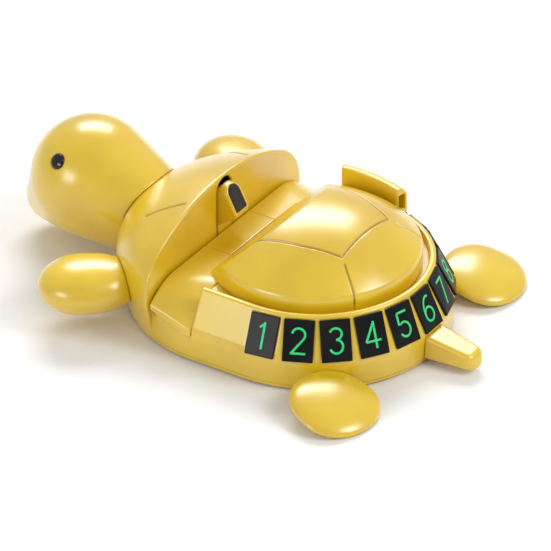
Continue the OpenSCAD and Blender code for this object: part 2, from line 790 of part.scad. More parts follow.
module lever() yellow() difference() {
  union() {
    intersection() {
      translate([0, lever_w / 2, 0]) rotate([90, 0, 0]) linear_extrude(lever_w) lever_outline();
      translate([-big / 2, 0, 0]) rotate([90, 0, 90]) linear_extrude(big) {
        translate([-lever_w / 2, 0]) square([lever_w, lever_top_z - lever_w / 2]);
        translate([0, lever_top_z - lever_w / 2]) circle(lever_w / 2);
      }
    }
    translate([-spring_x - 3, 0, arm_bottom]) cube([6, switch_y + 3, 3]);
  }
  translate([-pivot_x, 0, pivot_z]) rotate([90, 0, 0]) cylinder(r = pin_r + 0.05, h = 40, center = true);
  pad_solid(0);
}

module lever_pad() black() pad_solid(0);

module lever_pin() steel() translate([-pivot_x, 0, pivot_z]) rotate([90, 0, 0])
  cylinder(r = pin_r, h = pin_len, center = true);

// A coil spring: a tube swept along a helix whose end turns lie flat
spring_h = arm_bottom - pan_top;
spring_turns = 5;
spring_steps = 14;
function coil_centre(t) = let (
    flat = 0.75,
    lift = max(0, min(1, (t - flat) / (spring_turns - 2 * flat))))
  [spring_r * cos(360 * t), spring_r * sin(360 * t), spring_wire / 2 + lift * (spring_h - spring_wire)];
module lever_spring() steel() translate([-spring_x, 0, pan_top]) {
  n = spring_turns * spring_steps;
  s = 8;
  pts = [for (i = [0 : n]) let (c = coil_centre(i / spring_steps), a = 360 * i / spring_steps)
    for (j = [0 : s - 1]) let (b = 360 * j / s, r = spring_wire / 2)
      c + [r * cos(b) * cos(a), r * cos(b) * sin(a), r * sin(b)]];
  sides = [for (i = [0 : n - 1]) for (j = [0 : s - 1])
    [i * s + j, i * s + (j + 1) % s, (i + 1) * s + (j + 1) % s, (i + 1) * s + j]];
  polyhedron(pts, concat(sides, [[for (j = [s - 1 : -1 : 0]) j]], [[for (j = [0 : s - 1]) n * s + j]]));
}

module trigger_switch() black() {
  translate([-spring_x - switch_side / 2, switch_y - switch_side / 2, pan_top])
    cube([switch_side, switch_side, switch_z - pan_top - 1.4]);
  translate([-spring_x, switch_y, switch_z - 1.4 - eps]) cylinder(r = 1.7, h = 1.4 + eps);
}

// ---- electrics ----

board_t = 1.6;
module circuit_board() placed([0.1, 0.4, 0.2]) translate([0, 0, board_z]) difference() {
  rotate([0, 0, -95]) rotate_extrude(angle = 190) translate([board_r_in, 0])
    square([board_r_out - board_r_in, board_t]);
  for (p = board_screw_at) translate([p[0], p[1], -1]) cylinder(r = screw_hole_r, h = 4);
}

module board_screws() steel() for (p = board_screw_at) translate([p[0], p[1], board_z + board_t]) {
  cylinder(r = screw_head_r, h = 1.6);
  translate([0, 0, -7]) cylinder(r = screw_r, h = 7);
}

lamp_r = 2.5;
module indicator_lamps() placed([0.8, 0.95, 0.8]) for (k = [1 : TILES]) rotate([0, 0, (k - 6) * tile_pitch])
  translate([board_r_out - 2, 0, board_z + board_t]) {
    translate([0, 0, lamp_r]) rotate([0, 90, 0]) {
      cylinder(r = lamp_r, h = 10);
      translate([0, 0, 10]) sphere(lamp_r);
    }
  }

module loudspeaker() placed([0.2, 0.2, 0.22]) translate([-speaker_x, 0, pan_top]) {
  cylinder(r = speaker_d / 2, h = 2);
  translate([0, 0, 2]) cylinder(r1 = speaker_d / 2 - 1, r2 = 7, h = 3.4);
  translate([0, 0, 5.4 - eps]) cylinder(r = 7, h = 3);
}

module cell_places() for (k = [0 : cells - 1])
  translate([box_x + (k - (cells - 1) / 2) * cell_d, 0, box_top - 0.5 - cell_d / 2]) rotate([0, 0, k % 2 * 180])
    children();

module battery_cells() placed([0.75, 0.55, 0.2]) cell_places() rotate([90, 0, 0]) {
  translate([0, 0, 0.4]) cylinder(r = cell_d / 2 - 0.05, h = cell_l - 1.2, center = true);
  translate([0, 0, cell_l / 2 - 0.3]) cylinder(r = 1.9, h = 0.8, center = true);
}

module battery_contacts() steel() cell_places() for (s = [-1, 1])
  translate([-3.4, s * (box_l / 2 - 0.4) - 0.4, -3.4]) {
    cube([6.8, 0.8, 6.8]);
    translate([3.4, s > 0 ? -2 : 0.8, 3.4]) rotate([-90, 0, 0]) cylinder(r = 2.4, h = 2);
  }

module battery_door() yellow() difference() {
  translate([box_x - door_w / 2, -door_l / 2, pan_z]) cube([door_w, door_l, door_t]);
  translate([door_screw_x, 0, 0]) {
    cylinder(r = screw_hole_r, h = 10);
    cylinder(r = screw_head_r + 0.3, h = pan_z + 1);
  }
}

module battery_door_screw() steel() translate([door_screw_x, 0, pan_z - 0.6]) {
  cylinder(r = screw_head_r, h = 1.6);
  cylinder(r = screw_r, h = 9);
}

module power_switch_body() black() translate([switch_at[0], switch_at[1], pan_top]) difference() {
  translate([-9, -3.6, 0]) cube([18, 7.2, 6]);
  translate([-2.6 - switch_travel / 2, -2, -1]) cube([5.2 + switch_travel, 4, 4]);
}

module power_switch_knob() black() translate([switch_at[0] - switch_travel / 2, switch_at[1], 0]) {
  translate([-2, -1.4, pan_z]) cube([4, 2.8, pan_t + 2]);
  translate([-5.6, -3.6, 0.4]) cube([11.2, 7.2, 1.4]);
}

// ---- screws and feet ----

module case_screws() steel() case_screw_places() translate([0, 0, pan_z]) {
  cylinder(r = screw_head_r, h = screw_head_t);
  cylinder(r = screw_r, h = 14);
}

module dome_screws() steel() at_angles(dome_screw_angles, dome_screw_r) translate([0, 0, floor_z - wall]) {
  translate([0, 0, -1.6]) cylinder(r = screw_head_r, h = 1.6);
  cylinder(r = screw_r, h = 7);
}

module limb_screws() steel() limb_screw_places() rotate([0, 90, 0]) {
  translate([0, 0, -wall - 2]) cylinder(r = screw_head_r, h = 1.6);
  translate([0, 0, -wall - 1]) cylinder(r = screw_r, h = 10);
}

module rubber_feet() black() foot_places() cylinder(r = foot_pad_r, h = foot_pad_t);

base_pan();
upper_shell();
rear_shell();
lever_cover();
head();
eye_left();
eye_right();
flipper_front_left();
flipper_front_right();
flipper_rear_left();
flipper_rear_right();
tail();
for (k = [1 : TILES]) number_tile(k);
numerals();
lever();
lever_pad();
lever_pin();
lever_spring();
trigger_switch();
circuit_board();
indicator_lamps();
board_screws();
loudspeaker();
battery_cells();
battery_contacts();
battery_door();
battery_door_screw();
case_screws();
dome_screws();
limb_screws();
rubber_feet();
power_switch_body();
power_switch_knob();
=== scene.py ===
"""Looks of the turtle-shaped game spinner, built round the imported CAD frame.

The covers, limbs and lever are drawn as distance fields, so that every moulded edge is a real fillet.
A field gives the distance in millimetres from a point to the piece, negative inside it, in the same
coordinates as the CAD source: the number ring's centre is on x = 0 and the table is z = 0.
"""

import json
import math

import bpy
import numpy as np
import openvdb
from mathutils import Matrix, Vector


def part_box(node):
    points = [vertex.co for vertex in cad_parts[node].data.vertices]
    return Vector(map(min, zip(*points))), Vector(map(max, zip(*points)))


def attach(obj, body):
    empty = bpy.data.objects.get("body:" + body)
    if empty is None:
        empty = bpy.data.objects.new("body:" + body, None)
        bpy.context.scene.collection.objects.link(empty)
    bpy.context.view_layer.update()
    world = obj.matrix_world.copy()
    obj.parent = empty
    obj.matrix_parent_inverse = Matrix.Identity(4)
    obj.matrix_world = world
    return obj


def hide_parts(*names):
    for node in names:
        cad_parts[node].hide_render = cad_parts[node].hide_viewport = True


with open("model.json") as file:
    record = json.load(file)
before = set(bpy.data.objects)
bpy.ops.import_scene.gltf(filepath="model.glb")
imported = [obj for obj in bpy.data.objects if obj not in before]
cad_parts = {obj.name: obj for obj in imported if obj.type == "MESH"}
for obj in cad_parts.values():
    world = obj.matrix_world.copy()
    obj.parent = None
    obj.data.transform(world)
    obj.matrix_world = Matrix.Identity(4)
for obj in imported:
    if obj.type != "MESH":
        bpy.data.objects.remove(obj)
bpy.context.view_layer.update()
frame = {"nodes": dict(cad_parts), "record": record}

MM = 0.001
TAIL_TIP_X = 96.0
SHIFT = np.array([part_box("tail")[1].x / MM - TAIL_TIP_X, 0, 0])  # from the ring's centre to the row frame

# The driving sizes of the CAD model, in millimetres and degrees
RING_R, RING_Z, STRETCH, WALL, BASE_Z = 60.0, 36.0, 30.0, 2.2, 3.0
TILE_W, TILE_H, TILE_SINK, TILE_PITCH, FLARE = 15.2, 21.0, 0.6, 16.2, 9.4
FRONT_R, FRONT_H, FRONT_Z, SHOULDER_R, FACE_X = 74.4, 40.4, 27.0, 28.0, 54.0
DOME_R, DOME_EDGE_Z, DOME_TOP_Z, RAMP_ANGLE = 53.2, 43.3, 64.3, 45.0
SADDLE_Z, RIDGE_X, FOLD_X, COVER_W = 34.0, -52.8, -36.0, 40.0
LEVER_W, LEVER_TOP_Z, LEVER_GAP, PIVOT_X, PIVOT_Z = 12.4, 61.0, 0.7, 50.0, 22.0
RIM_W, RIM_Z, FLOOR_Z, FLOOR_R = 3.6, RING_Z + 1.8, SADDLE_Z - 0.5, RING_R - 15
SADDLE_BACK_X = 1 - STRETCH
SKIRT_DROP = math.sqrt(TILE_H**2 - FLARE**2)
FOOT_R, FOOT_Z, BASE_R = RING_R + FLARE, RING_Z - SKIRT_DROP, RING_R + FLARE - 0.4
SLOPE_OUT, SLOPE_UP = SKIRT_DROP / TILE_H, FLARE / TILE_H  # the skirt's outward normal
TILES = 11

# ---------------------------------------------------------------- distance fields


def both(a, b, r):
    """What lies in a and in b, with the corner between them rounded to radius r."""
    return np.minimum(-r, np.maximum(a, b)) + np.hypot(np.maximum(a + r, 0), np.maximum(b + r, 0))


def either(a, b, r):
    """What lies in a or in b, with a fillet of radius r between them."""
    return np.maximum(r, np.minimum(a, b)) - np.hypot(np.maximum(r - a, 0), np.maximum(r - b, 0))


def blended(a, b, r):
    """a and b run together softly over about r."""
    h = np.maximum(r - np.abs(a - b), 0) / r
    return np.minimum(a, b) - h * h * r / 4


def without(a, b, r):
    return both(a, -b, r)


def spine(x, y):
    """Distance from the line that the body's oval is drawn round."""
    return np.hypot(x - np.clip(x, -STRETCH, 0), y)


def azimuth(x, y, a):
    """Distance past the upright plane through the ring's axis at the angle a, turning with the clock hands reversed."""
    return math.cos(math.radians(a)) * y - math.sin(math.radians(a)) * x


def ball(x, y, z, at, r):
    return np.sqrt((x - at[0]) ** 2 + (y - at[1]) ** 2 + (z - at[2]) ** 2) - r


def ellipsoid(u, v, w, size):
    near = np.sqrt((u / size[0]) ** 2 + (v / size[1]) ** 2 + (w / size[2]) ** 2)
    far = np.sqrt((u / size[0] ** 2) ** 2 + (v / size[1] ** 2) ** 2 + (w / size[2] ** 2) ** 2)
    return near * (near - 1) / np.maximum(far, 1e-6)


def round_cone(x, y, z, a, b, ra, rb):
    """The skin drawn over a ball of radius ra at a and one of radius rb at b."""
    ba = np.subtract(b, a)
    length2 = float(ba @ ba)
    dr = ra - rb
    slant2 = length2 - dr * dr
    px, py, pz = x - a[0], y - a[1], z - a[2]
    along = px * ba[0] + py * ba[1] + pz * ba[2]
    past = along - length2
    side2 = (
        (px * length2 - ba[0] * along) ** 2
        + (py * length2 - ba[1] * along) ** 2
        + (pz * length2 - ba[2] * along) ** 2
    )
    low2, high2 = along**2 * length2, past**2 * length2
    edge = math.copysign(1, dr) * dr * dr * side2
    at_b = np.sign(past) * slant2 * high2 > edge
    at_a = np.sign(along) * slant2 * low2 < edge
    d = (np.sqrt(side2 * slant2 / length2) + along * dr) / length2 - ra
    d = np.where(at_a, np.sqrt(side2 + low2) / length2 - ra, d)
    return np.where(at_b, np.sqrt(side2 + high2) / length2 - rb, d)


def outline(u, v, points):
    """Distance to a closed outline of straight sides, in its own plane."""
    d = np.full(np.broadcast(u, v).shape, 1e9)
    sign = np.ones_like(d)
    for p, q in zip(points, points[1:] + points[:1]):
        ex, ey = q[0] - p[0], q[1] - p[1]
        wu, wv = u - p[0], v - p[1]
        t = np.clip((wu * ex + wv * ey) / (ex * ex + ey * ey), 0, 1)
        d = np.minimum(d, (wu - ex * t) ** 2 + (wv - ey * t) ** 2)
        above, below = v >= p[1], v < q[1]
        left = ex * wv > ey * wu
        flip = (above & below & left) | (~above & ~below & ~left)
        sign = np.where(flip, -sign, sign)
    return sign * np.sqrt(d)


# ---------------------------------------------------------------- the body's covers


def front_dome(x, y, z):
    """The front dome: a flat top arc, a round shoulder, and a side that draws in to the base."""
    side = FRONT_R - SHOULDER_R
    rise = FRONT_H - SHOULDER_R
    drop = (side**2 - rise**2) / (2 * rise)
    r, h = np.hypot(x + STRETCH, y), z - FRONT_Z
    top = np.hypot(r, h + drop) - (drop + FRONT_H)
    shoulder = np.hypot(np.maximum(r - side, 0), h) - SHOULDER_R
    low = 4.0
    low_r = side + math.sqrt(SHOULDER_R**2 - low**2)
    fall, inset = FRONT_Z - BASE_Z - low, low_r - BASE_R
    slant = math.hypot(fall, inset)
    flank = ((r - low_r) * fall - (h + low) * inset) / slant
    d = np.where(r * drop < side * (h + drop), top, shoulder)
    return np.where(h < -low, flank, d)


def front_block(x, y, z):
    return both(front_dome(x, y, z), x + FACE_X, 1.5)


def skirt_slope(rho, z):
    return (rho - RING_R) * SLOPE_OUT + (z - RING_Z) * SLOPE_UP


def skirt_block(x, y, z):
    """The skirt that carries the tiles, with its rim and the channel inside it."""
    rho = spine(x, y)
    base = rho - BASE_R - (z - BASE_Z) * (FOOT_R - BASE_R) / (FOOT_Z - BASE_Z)
    d = both(both(skirt_slope(rho, z), base, 1.6), z - RIM_Z, 0.9)
    channel = np.maximum(rho - (RING_R - RIM_W), FLOOR_Z - z)
    d = without(d, channel, 0.8)
    return np.maximum(d, -x - FACE_X - 0.6)


def body(x, y, z):
    """The outside of the body, which the limbs are trimmed to."""
    return either(front_block(x, y, z), skirt_block(x, y, z), 1.0)


WING_OUT = (0.276, 0.860, 0.430)  # outward normal of the wings, which run down flush with the skirt
WING_TOP = (SADDLE_BACK_X, 60.2, SADDLE_Z)
WING_W, SADDLE_T = 69.2, 2.4


def saddle_top(x, y, z):
    """The saddle's flat top, which rolls over into a sloping wing on each side."""
    lean = (
        (x - WING_TOP[0]) * WING_OUT[0] + (np.abs(y) - WING_TOP[1]) * WING_OUT[1] + (z - WING_TOP[2]) * WING_OUT[2]
    )
    return both(z - SADDLE_Z, lean, 18.0)


def tile_pocket(x, y, z):
    turn = np.radians(TILE_PITCH)
    a = np.arctan2(y, x)
    a = a - np.clip(np.round(a / turn), -(TILES // 2), TILES // 2) * turn
    r = np.hypot(x, y)
    across, out = r * np.sin(a), r * np.cos(a)
    up = (z - RING_Z) * SLOPE_OUT - (out - RING_R) * SLOPE_UP
    gap = 0.22
    d = np.maximum(np.abs(across) - TILE_W / 2 - gap, np.abs(up + TILE_H / 2) - TILE_H / 2 - gap)
    return np.maximum(d, -TILE_SINK - skirt_slope(out, z))


def lever_slot(x, y, z):
    half = LEVER_W / 2 + LEVER_GAP
    arch = LEVER_TOP_Z + 2.2 - half
    d = np.where(z > arch, np.hypot(y, z - arch), np.abs(y)) - half
    return np.maximum(np.maximum(d, FOOT_Z - z), np.abs(x + FACE_X + 1) - 3.6)


HOOD_TOP, HOOD_FALL, HOOD_FROM, HOOD_TO = 55.0, 0.115, 74.0, 109.0


def hood(x, y, z):
    """The hood over the sound outlet, with its recessed mouth at the tail end."""
    r = np.hypot(x, y)
    slant = math.hypot(3.4, 3.0)
    top = z - HOOD_TOP + HOOD_FALL * azimuth(x, y, HOOD_TO) * -1
    cheek = ((r - RING_R + 1.6) * 3.4 + top * 3.0) / slant
    d = both(both(top, DOME_R + 1 - r, 0.8), cheek, 1.2)
    d = both(d, r - RING_R - 1.6, 1.2)
    ends = np.maximum(azimuth(x, y, HOOD_TO), -azimuth(x, y, HOOD_FROM))
    d = np.maximum(both(d, ends, 1.0), FLOOR_Z - z)
    mouth = np.maximum(np.abs(r - 57.4) - 2.0, np.abs(z - 43.4) - 4.2)
    mouth = np.maximum(mouth, azimuth(x, y, HOOD_FROM + 9))
    return without(d, mouth, 0.4)


def upper_shell(x, y, z):
    solid = body(x, y, z)
    d = np.abs(solid + WALL / 2) - WALL / 2
    d = np.maximum(d, solid + groove(x, y, BROW_LINES) * (z > FRONT_Z))
    d = np.maximum(d, BASE_Z + 0.05 - z)
    bed = np.maximum(np.maximum(-saddle_top(x, y, z) - SADDLE_T - 0.05, x - SADDLE_BACK_X - 0.45), -x - FACE_X)
    d = without(d, bed, 0.3)
    middle = np.maximum(np.hypot(x, y) - FLOOR_R, np.maximum(FLOOR_Z - 8 - z, -x - FACE_X))
    d = np.maximum(d, -middle)
    d = either(d, hood(x, y, z), 0.5)
    d = without(d, tile_pocket(x, y, z), 0.2)
    return without(d, lever_slot(x, y, z), 0.7)


def dome(x, y, z):
    rise = DOME_TOP_Z - DOME_EDGE_Z
    sphere_r = (DOME_R**2 + rise**2) / (2 * rise)
    cap = ball(x, y, z, (0, 0, DOME_TOP_Z - sphere_r), sphere_r)
    d = both(cap, np.hypot(x, y) - DOME_R, 1.3)
    s, c = math.sin(math.radians(RAMP_ANGLE)), math.cos(math.radians(RAMP_ANGLE))
    return both(d, (z - SADDLE_Z) * c - (x - FOLD_X) * s, 1.2)


# Corners of the shell plates on the rear dome, in plan: the first half of each line is on the near side
PLATE_A, PLATE_C, PLATE_B = (-15.2, 31.7), (9.0, 27.5), (28.7, 21.3)
PLATE_LINES = (
    (PLATE_A, PLATE_C),
    (PLATE_C, PLATE_B),
    ((31.6, 23.4), (46.5, 34.5)),
    (PLATE_B, (28.7, 0.0)),
)
# The line of the plates on the front dome, in plan
BROW_LINES = (((-77.0, 36.7), (-68.0, 32.0)), ((-68.0, 32.0), (-59.0, 28.0)))
GROOVE_HALF, GROOVE_DEPTH = 0.65, 0.8


def segment(x, y, p, q):
    ex, ey = q[0] - p[0], q[1] - p[1]
    t = np.clip(((x - p[0]) * ex + (y - p[1]) * ey) / (ex * ex + ey * ey), 0, 1)
    return np.hypot(x - p[0] - ex * t, y - p[1] - ey * t)


def groove(x, y, lines):
    """How deep the groove along these lines is at a point in plan."""
    off = np.minimum.reduce([segment(x, np.abs(y), p, q) for p, q in lines])
    return GROOVE_DEPTH * np.clip(1 - off / GROOVE_HALF, 0, 1)


def saddle(x, y, z):
    top = saddle_top(x, y, z)
    d = both(both(top, np.abs(y) - WING_W, 0.8), RIDGE_X - x, 0.7)
    return np.maximum(both(d, x - SADDLE_BACK_X, 0.4), -SADDLE_T - top)


def rear_shell(x, y, z):
    top = dome(x, y, z)
    d = np.maximum(top, FLOOR_Z + 0.1 - z)
    d = np.maximum(d, -np.maximum(top + WALL, 10 - z))
    d = np.maximum(d, top + groove(x, y, PLATE_LINES))
    d = either(d, saddle(x, y, z), 0.8)
    opening = np.maximum(np.abs(y) - COVER_W / 2, np.maximum(x - FOLD_X + 1, RIDGE_X - 4 - x))
    return np.maximum(d, -opening)


def lever_cover(x, y, z):
    """The insert between the two halves of the saddle, over the lever's pivot."""
    gap = 0.18
    d = both(z - SADDLE_Z, RIDGE_X - x, 0.7)
    d = np.maximum(d, x - FOLD_X + 1 + gap)
    return np.maximum(both(d, np.abs(y) - COVER_W / 2 + gap, 0.2), SADDLE_Z - 4 - z)


# ---------------------------------------------------------------- head, limbs and tail

HEAD, MUZZLE, NECK = (-134.1, 0, 38.2), (-156.3, 0, 20.9), (-86.4, 0, 23.6)
HEAD_R, MUZZLE_R, NECK_R, EYE_R = 31.7, 15.8, 20.6, 3.9
EYE_DIR = np.array([-0.138, 0.783, 0.607]) / np.linalg.norm([0.138, 0.783, 0.607])
EYE_AT = np.array(HEAD) + EYE_DIR * HEAD_R


def eye_frame(x, y, z):
    """How far a point is out along the eye's axis, and how far from that axis."""
    px, py, pz = x - EYE_AT[0], np.abs(y) - EYE_AT[1], z - EYE_AT[2]
    out = px * EYE_DIR[0] + py * EYE_DIR[1] + pz * EYE_DIR[2]
    return out, np.sqrt(np.maximum(px**2 + py**2 + pz**2 - out**2, 0))


def trimmed(d, x, y, z):
    """A limb up against the body, with the fine gap of a joint line."""
    return without(d, body(x, y, z) - 0.12, 0.5)


def cheek(x, y, z):
    """The flat side that touches all three balls of the head, as far as the points where it touches them."""
    slopes = [[NECK[0] - HEAD[0], NECK[2] - HEAD[2]], [MUZZLE[0] - HEAD[0], MUZZLE[2] - HEAD[2]]]
    nx, nz = np.linalg.solve(slopes, [HEAD_R - NECK_R, HEAD_R - MUZZLE_R])
    ny = math.sqrt(1 - nx * nx - nz * nz)
    flat = (x - HEAD[0]) * nx + np.abs(y) * ny + (z - HEAD[2]) * nz - HEAD_R
    touch = [(c[0] + nx * r, c[2] + nz * r) for c, r in ((HEAD, HEAD_R), (MUZZLE, MUZZLE_R), (NECK, NECK_R))]
    return np.maximum(flat, outline(x, z, touch))


def head(x, y, z):
    d = round_cone(x, y, z, HEAD, MUZZLE, HEAD_R, MUZZLE_R)
    d = np.minimum(d, round_cone(x, y, z, HEAD, NECK, HEAD_R, NECK_R))
    d = np.minimum(d, round_cone(x, y, z, MUZZLE, NECK, MUZZLE_R, NECK_R))
    d = np.minimum(d, cheek(x, y, z))
    out, off = eye_frame(x, y, z)
    d = without(d, np.maximum(off - EYE_R - 0.1, -1.5 - out), 0.7)
    return trimmed(d, x, y, z)


def eye(x, y, z):
    out, off = eye_frame(x, y, z)
    return both(np.hypot(out + 7.2, off) - 8.1, np.maximum(off - EYE_R, -1.4 - out), 0.4)


def flipper(x, y, z, at, size, turn, tilt):
    s, c = math.sin(math.radians(turn)), math.cos(math.radians(turn))
    px, py, pz = x - at[0], y - at[1], z - at[2]
    u, v = px * c + py * s, py * c - px * s
    s, c = math.sin(math.radians(tilt)), math.cos(math.radians(tilt))
    u, w = u * c - pz * s, u * s + pz * c
    blunt = ellipsoid(u - size[0] * 0.12, v, w, (size[0] * 0.88, size[1], size[2]))
    root = ellipsoid(u + size[0] * 0.35, v, w, (size[0] * 0.65, size[1] * 0.86, size[2] * 0.88))
    return trimmed(blended(blunt, root, 5) + 0.5, x, y, z)


def front_flipper(x, y, z):
    return flipper(x, y, z, (-91.8, 66.1, 22.5), (25.7, 20.5, 13.7), 139.5, 0)


def rear_flipper(x, y, z):
    return np.maximum(flipper(x, y, z, (55.8, 70.2, 6.4), (22.2, 23.4, 6.2), 8, 15.5), 0.6 - z)


def mirrored(field):
    return lambda x, y, z: field(x, -y, z)


def tail(x, y, z):
    root_x, root_w, tip_w = 60.0, 9.0, 6.4
    end = TAIL_TIP_X - tip_w
    taper = (root_w - tip_w) / (end - root_x)
    plan = np.where(
        x > end,
        np.hypot(x - end, y) - tip_w,
        (np.abs(y) - root_w + (x - root_x) * taper) / math.hypot(1, taper),
    )
    top_fall = (17.6 - 11.4) / (end + 3.4 - root_x)
    top = (z - 17.6 + (x - root_x) * top_fall) / math.hypot(1, top_fall)
    nose = (x - TAIL_TIP_X + 1.2) * 0.86 + (z - 10.0) * 0.5
    d = both(both(plan, top, 2.2), 3.0 - z, 2.0)
    return trimmed(both(d, nose, 1.6), x, y, z)


# ---------------------------------------------------------------- the lever

LEVER_OUTLINE = [
    (-FACE_X + 0.4, PIVOT_Z - 2),
    (-FACE_X - 4.2, PIVOT_Z + 6),
    (-FACE_X - 4.4, LEVER_TOP_Z - 20),
    (-FACE_X - 3, LEVER_TOP_Z - 4),
    (-FACE_X + 0.5, LEVER_TOP_Z),
    (-FACE_X + 4, LEVER_TOP_Z - 1),
    (-FACE_X + 10.6, LEVER_TOP_Z - 13.6),
    (-FACE_X + 10.2, LEVER_TOP_Z - 15.8),
    (-FACE_X + 0.5, SADDLE_Z + 4.5),
    (-FACE_X + 0.5, PIVOT_Z + 8),
    (-PIVOT_X + 1, PIVOT_Z + 3),
]
PAD_LEN, PAD_W, PAD_T, PAD_ANGLE = 13.8, 8.6, 1.6, math.atan2(12.6, 6.6)


def lever_arch(y, z):
    arch = LEVER_TOP_Z - LEVER_W / 2
    return np.where(z > arch, np.hypot(y, z - arch), np.abs(y)) - LEVER_W / 2


def pad_frame(x, z):
    """Up along the pad's face, and out of it."""
    px, pz = x + FACE_X - 10.6, z - LEVER_TOP_Z + 13.6
    s, c = math.sin(PAD_ANGLE), math.cos(PAD_ANGLE)
    return pz * s - px * c - 0.6, px * s + pz * c


def pad(x, y, z, grow):
    up, out = pad_frame(x, z)
    bend = PAD_LEN - PAD_W / 2
    plan = np.where(up > bend, np.hypot(y, up - bend), np.abs(y)) - PAD_W / 2
    plan = np.maximum(plan, -up)
    return both(both(plan - grow, out - 0.55, 0.35), -PAD_T - out, 0.2)


def lever(x, y, z):
    d = both(outline(x, z, LEVER_OUTLINE), lever_arch(y, z), 0.9)
    pivot = np.maximum(np.hypot(x + PIVOT_X, z - PIVOT_Z) - 4.2, np.abs(y) - LEVER_W / 2)
    arm_z = PIVOT_Z - 2.5
    arm = np.maximum(np.abs(x + PIVOT_X + 7.2) - 7.2, np.maximum(np.abs(z - arm_z) - 1.5, np.abs(y) - LEVER_W / 2))
    d = either(either(d, pivot, 0.5), arm, 0.5)
    return without(d, pad(x, y, z, 0.12), 0.15)


def lever_pad(x, y, z):
    """The rubber grip: fine cross ribs on its face."""
    up, _ = pad_frame(x, z)
    return pad(x, y, z, 0) + 0.06 * (1 + np.cos(up * 2 * math.pi / 1.3))


# ---------------------------------------------------------------- fields to meshes


def field_grid(field, low, high, step):
    """The field on a grid of points, clipped to a few steps either side of the surface."""
    axes = [np.arange(a, b + step, step) for a, b in zip(low, high)]
    slabs = []
    for part in np.array_split(axes[0], max(1, len(axes[0]) // 24)):
        d = field(part[:, None, None], axes[1][None, :, None], axes[2][None, None, :])
        slabs.append(np.clip(d, -3 * step, 3 * step).astype(np.float32))
    return np.ascontiguousarray(np.concatenate(slabs, 0)), [a[0] for a in axes]


def settle(points, field, step):
    """Moves points of the grid's surface onto the field's own surface."""
    h = 0.02
    for _ in range(2):
        x, y, z = points.T
        d = field(x, y, z)
        g = np.stack(
            [
                field(x + h, y, z) - field(x - h, y, z),
                field(x, y + h, z) - field(x, y - h, z),
                field(x, y, z + h) - field(x, y, z - h),
            ],
            1,
        ) / (2 * h)
        move = d / np.maximum((g**2).sum(1), 0.25)
        points = points - np.clip(move, -step, step)[:, None] * g
    return points


def moulded(name, field, low, high, step, material, body_name="turtle", nodes=(), lines=()):
    """A piece made from a field inside the box from low to high, which stands for the CAD nodes given."""
    values, start = field_grid(field, low, high, step)
    grid = openvdb.FloatGrid(3 * step)
    grid.copyFromArray(values)
    points, _, quads = grid.convertToPolygons(isovalue=0.0)
    points = np.asarray(points, float) * step + np.array(start)
    points = settle(points, field, step)
    mesh = bpy.data.meshes.new(name)
    mesh.from_pydata(((points + SHIFT) * MM).tolist(), [], np.asarray(quads)[:, ::-1].tolist())
    mesh.validate()
    mesh.update()
    mesh.shade_smooth()
    # painted shade: a weight per point that darkens the groove lines above the rim, read by the plastic's colour
    if lines:
        x, y, _ = points.T
        painted_shade_weight = mesh.attributes.new("groove", "FLOAT", "POINT")
        painted_shade_weight.data.foreach_set("value", np.clip(groove(x, y, lines) / GROOVE_DEPTH * (points[:, 2] > RIM_Z), 0, 1))
    mesh.materials.append(material)
    obj = bpy.data.objects.new(name, mesh)
    bpy.context.scene.collection.objects.link(obj)
    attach(obj, body_name)
    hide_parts(*(nodes or (name,)))
    return obj


# ---------------------------------------------------------------- materials


class Graph:
    """A material's node tree, with short ways to add a node and to join it up."""

    def __init__(self, name):
        self.material = bpy.data.materials.new(name)
        self.material.use_nodes = True
        self.tree = self.material.node_tree
        self.shader = self.tree.nodes["Principled BSDF"]
        self.place = self.add("ShaderNodeTexCoord").outputs["Object"]

    def add(self, kind, **inputs):
        node = self.tree.nodes.new(kind)
        for key, value in inputs.items():
            socket = node.inputs[key.replace("_", " ")]
            if isinstance(value, bpy.types.NodeSocket):
                self.tree.links.new(value, socket)
            else:
                socket.default_value = value
        return node

    def noise(self, scale, detail=2.0, roughness=0.5):
        return self.add(
            "ShaderNodeTexNoise", Vector=self.place, Scale=scale, Detail=detail, Roughness=roughness
        ).outputs["Fac"]

    def ramp(self, value, stops):
        node = self.add("ShaderNodeValToRGB", Fac=value)
        elements = node.color_ramp.elements
        while len(elements) < len(stops):
            elements.new(0.5)
        for element, (place, colour) in zip(elements, stops):
            element.position = place
            element.color = (*colour, 1)
        return node.outputs["Color"]

    def between(self, value, low, high):
        node = self.add("ShaderNodeMapRange", Value=value, To_Min=low, To_Max=high)
        return node.outputs["Result"]

    def mixed(self, share, start, end):
        node = self.tree.nodes.new("ShaderNodeMix")
        node.data_type = "RGBA"
        self.tree.links.new(share, node.inputs["Factor"])
        self.tree.links.new(start, node.inputs[6])
        node.inputs[7].default_value = end
        return node.outputs[2]

    def set(self, **inputs):
        for key, value in inputs.items():
            socket = self.shader.inputs[key.replace("_", " ")]
            if isinstance(value, bpy.types.NodeSocket):
                self.tree.links.new(value, socket)
            else:
                socket.default_value = value

    def bump(self, height, strength, distance):
        node = self.add("ShaderNodeBump", Height=height, Strength=strength, Distance=distance)
        self.set(Normal=node.outputs["Normal"])


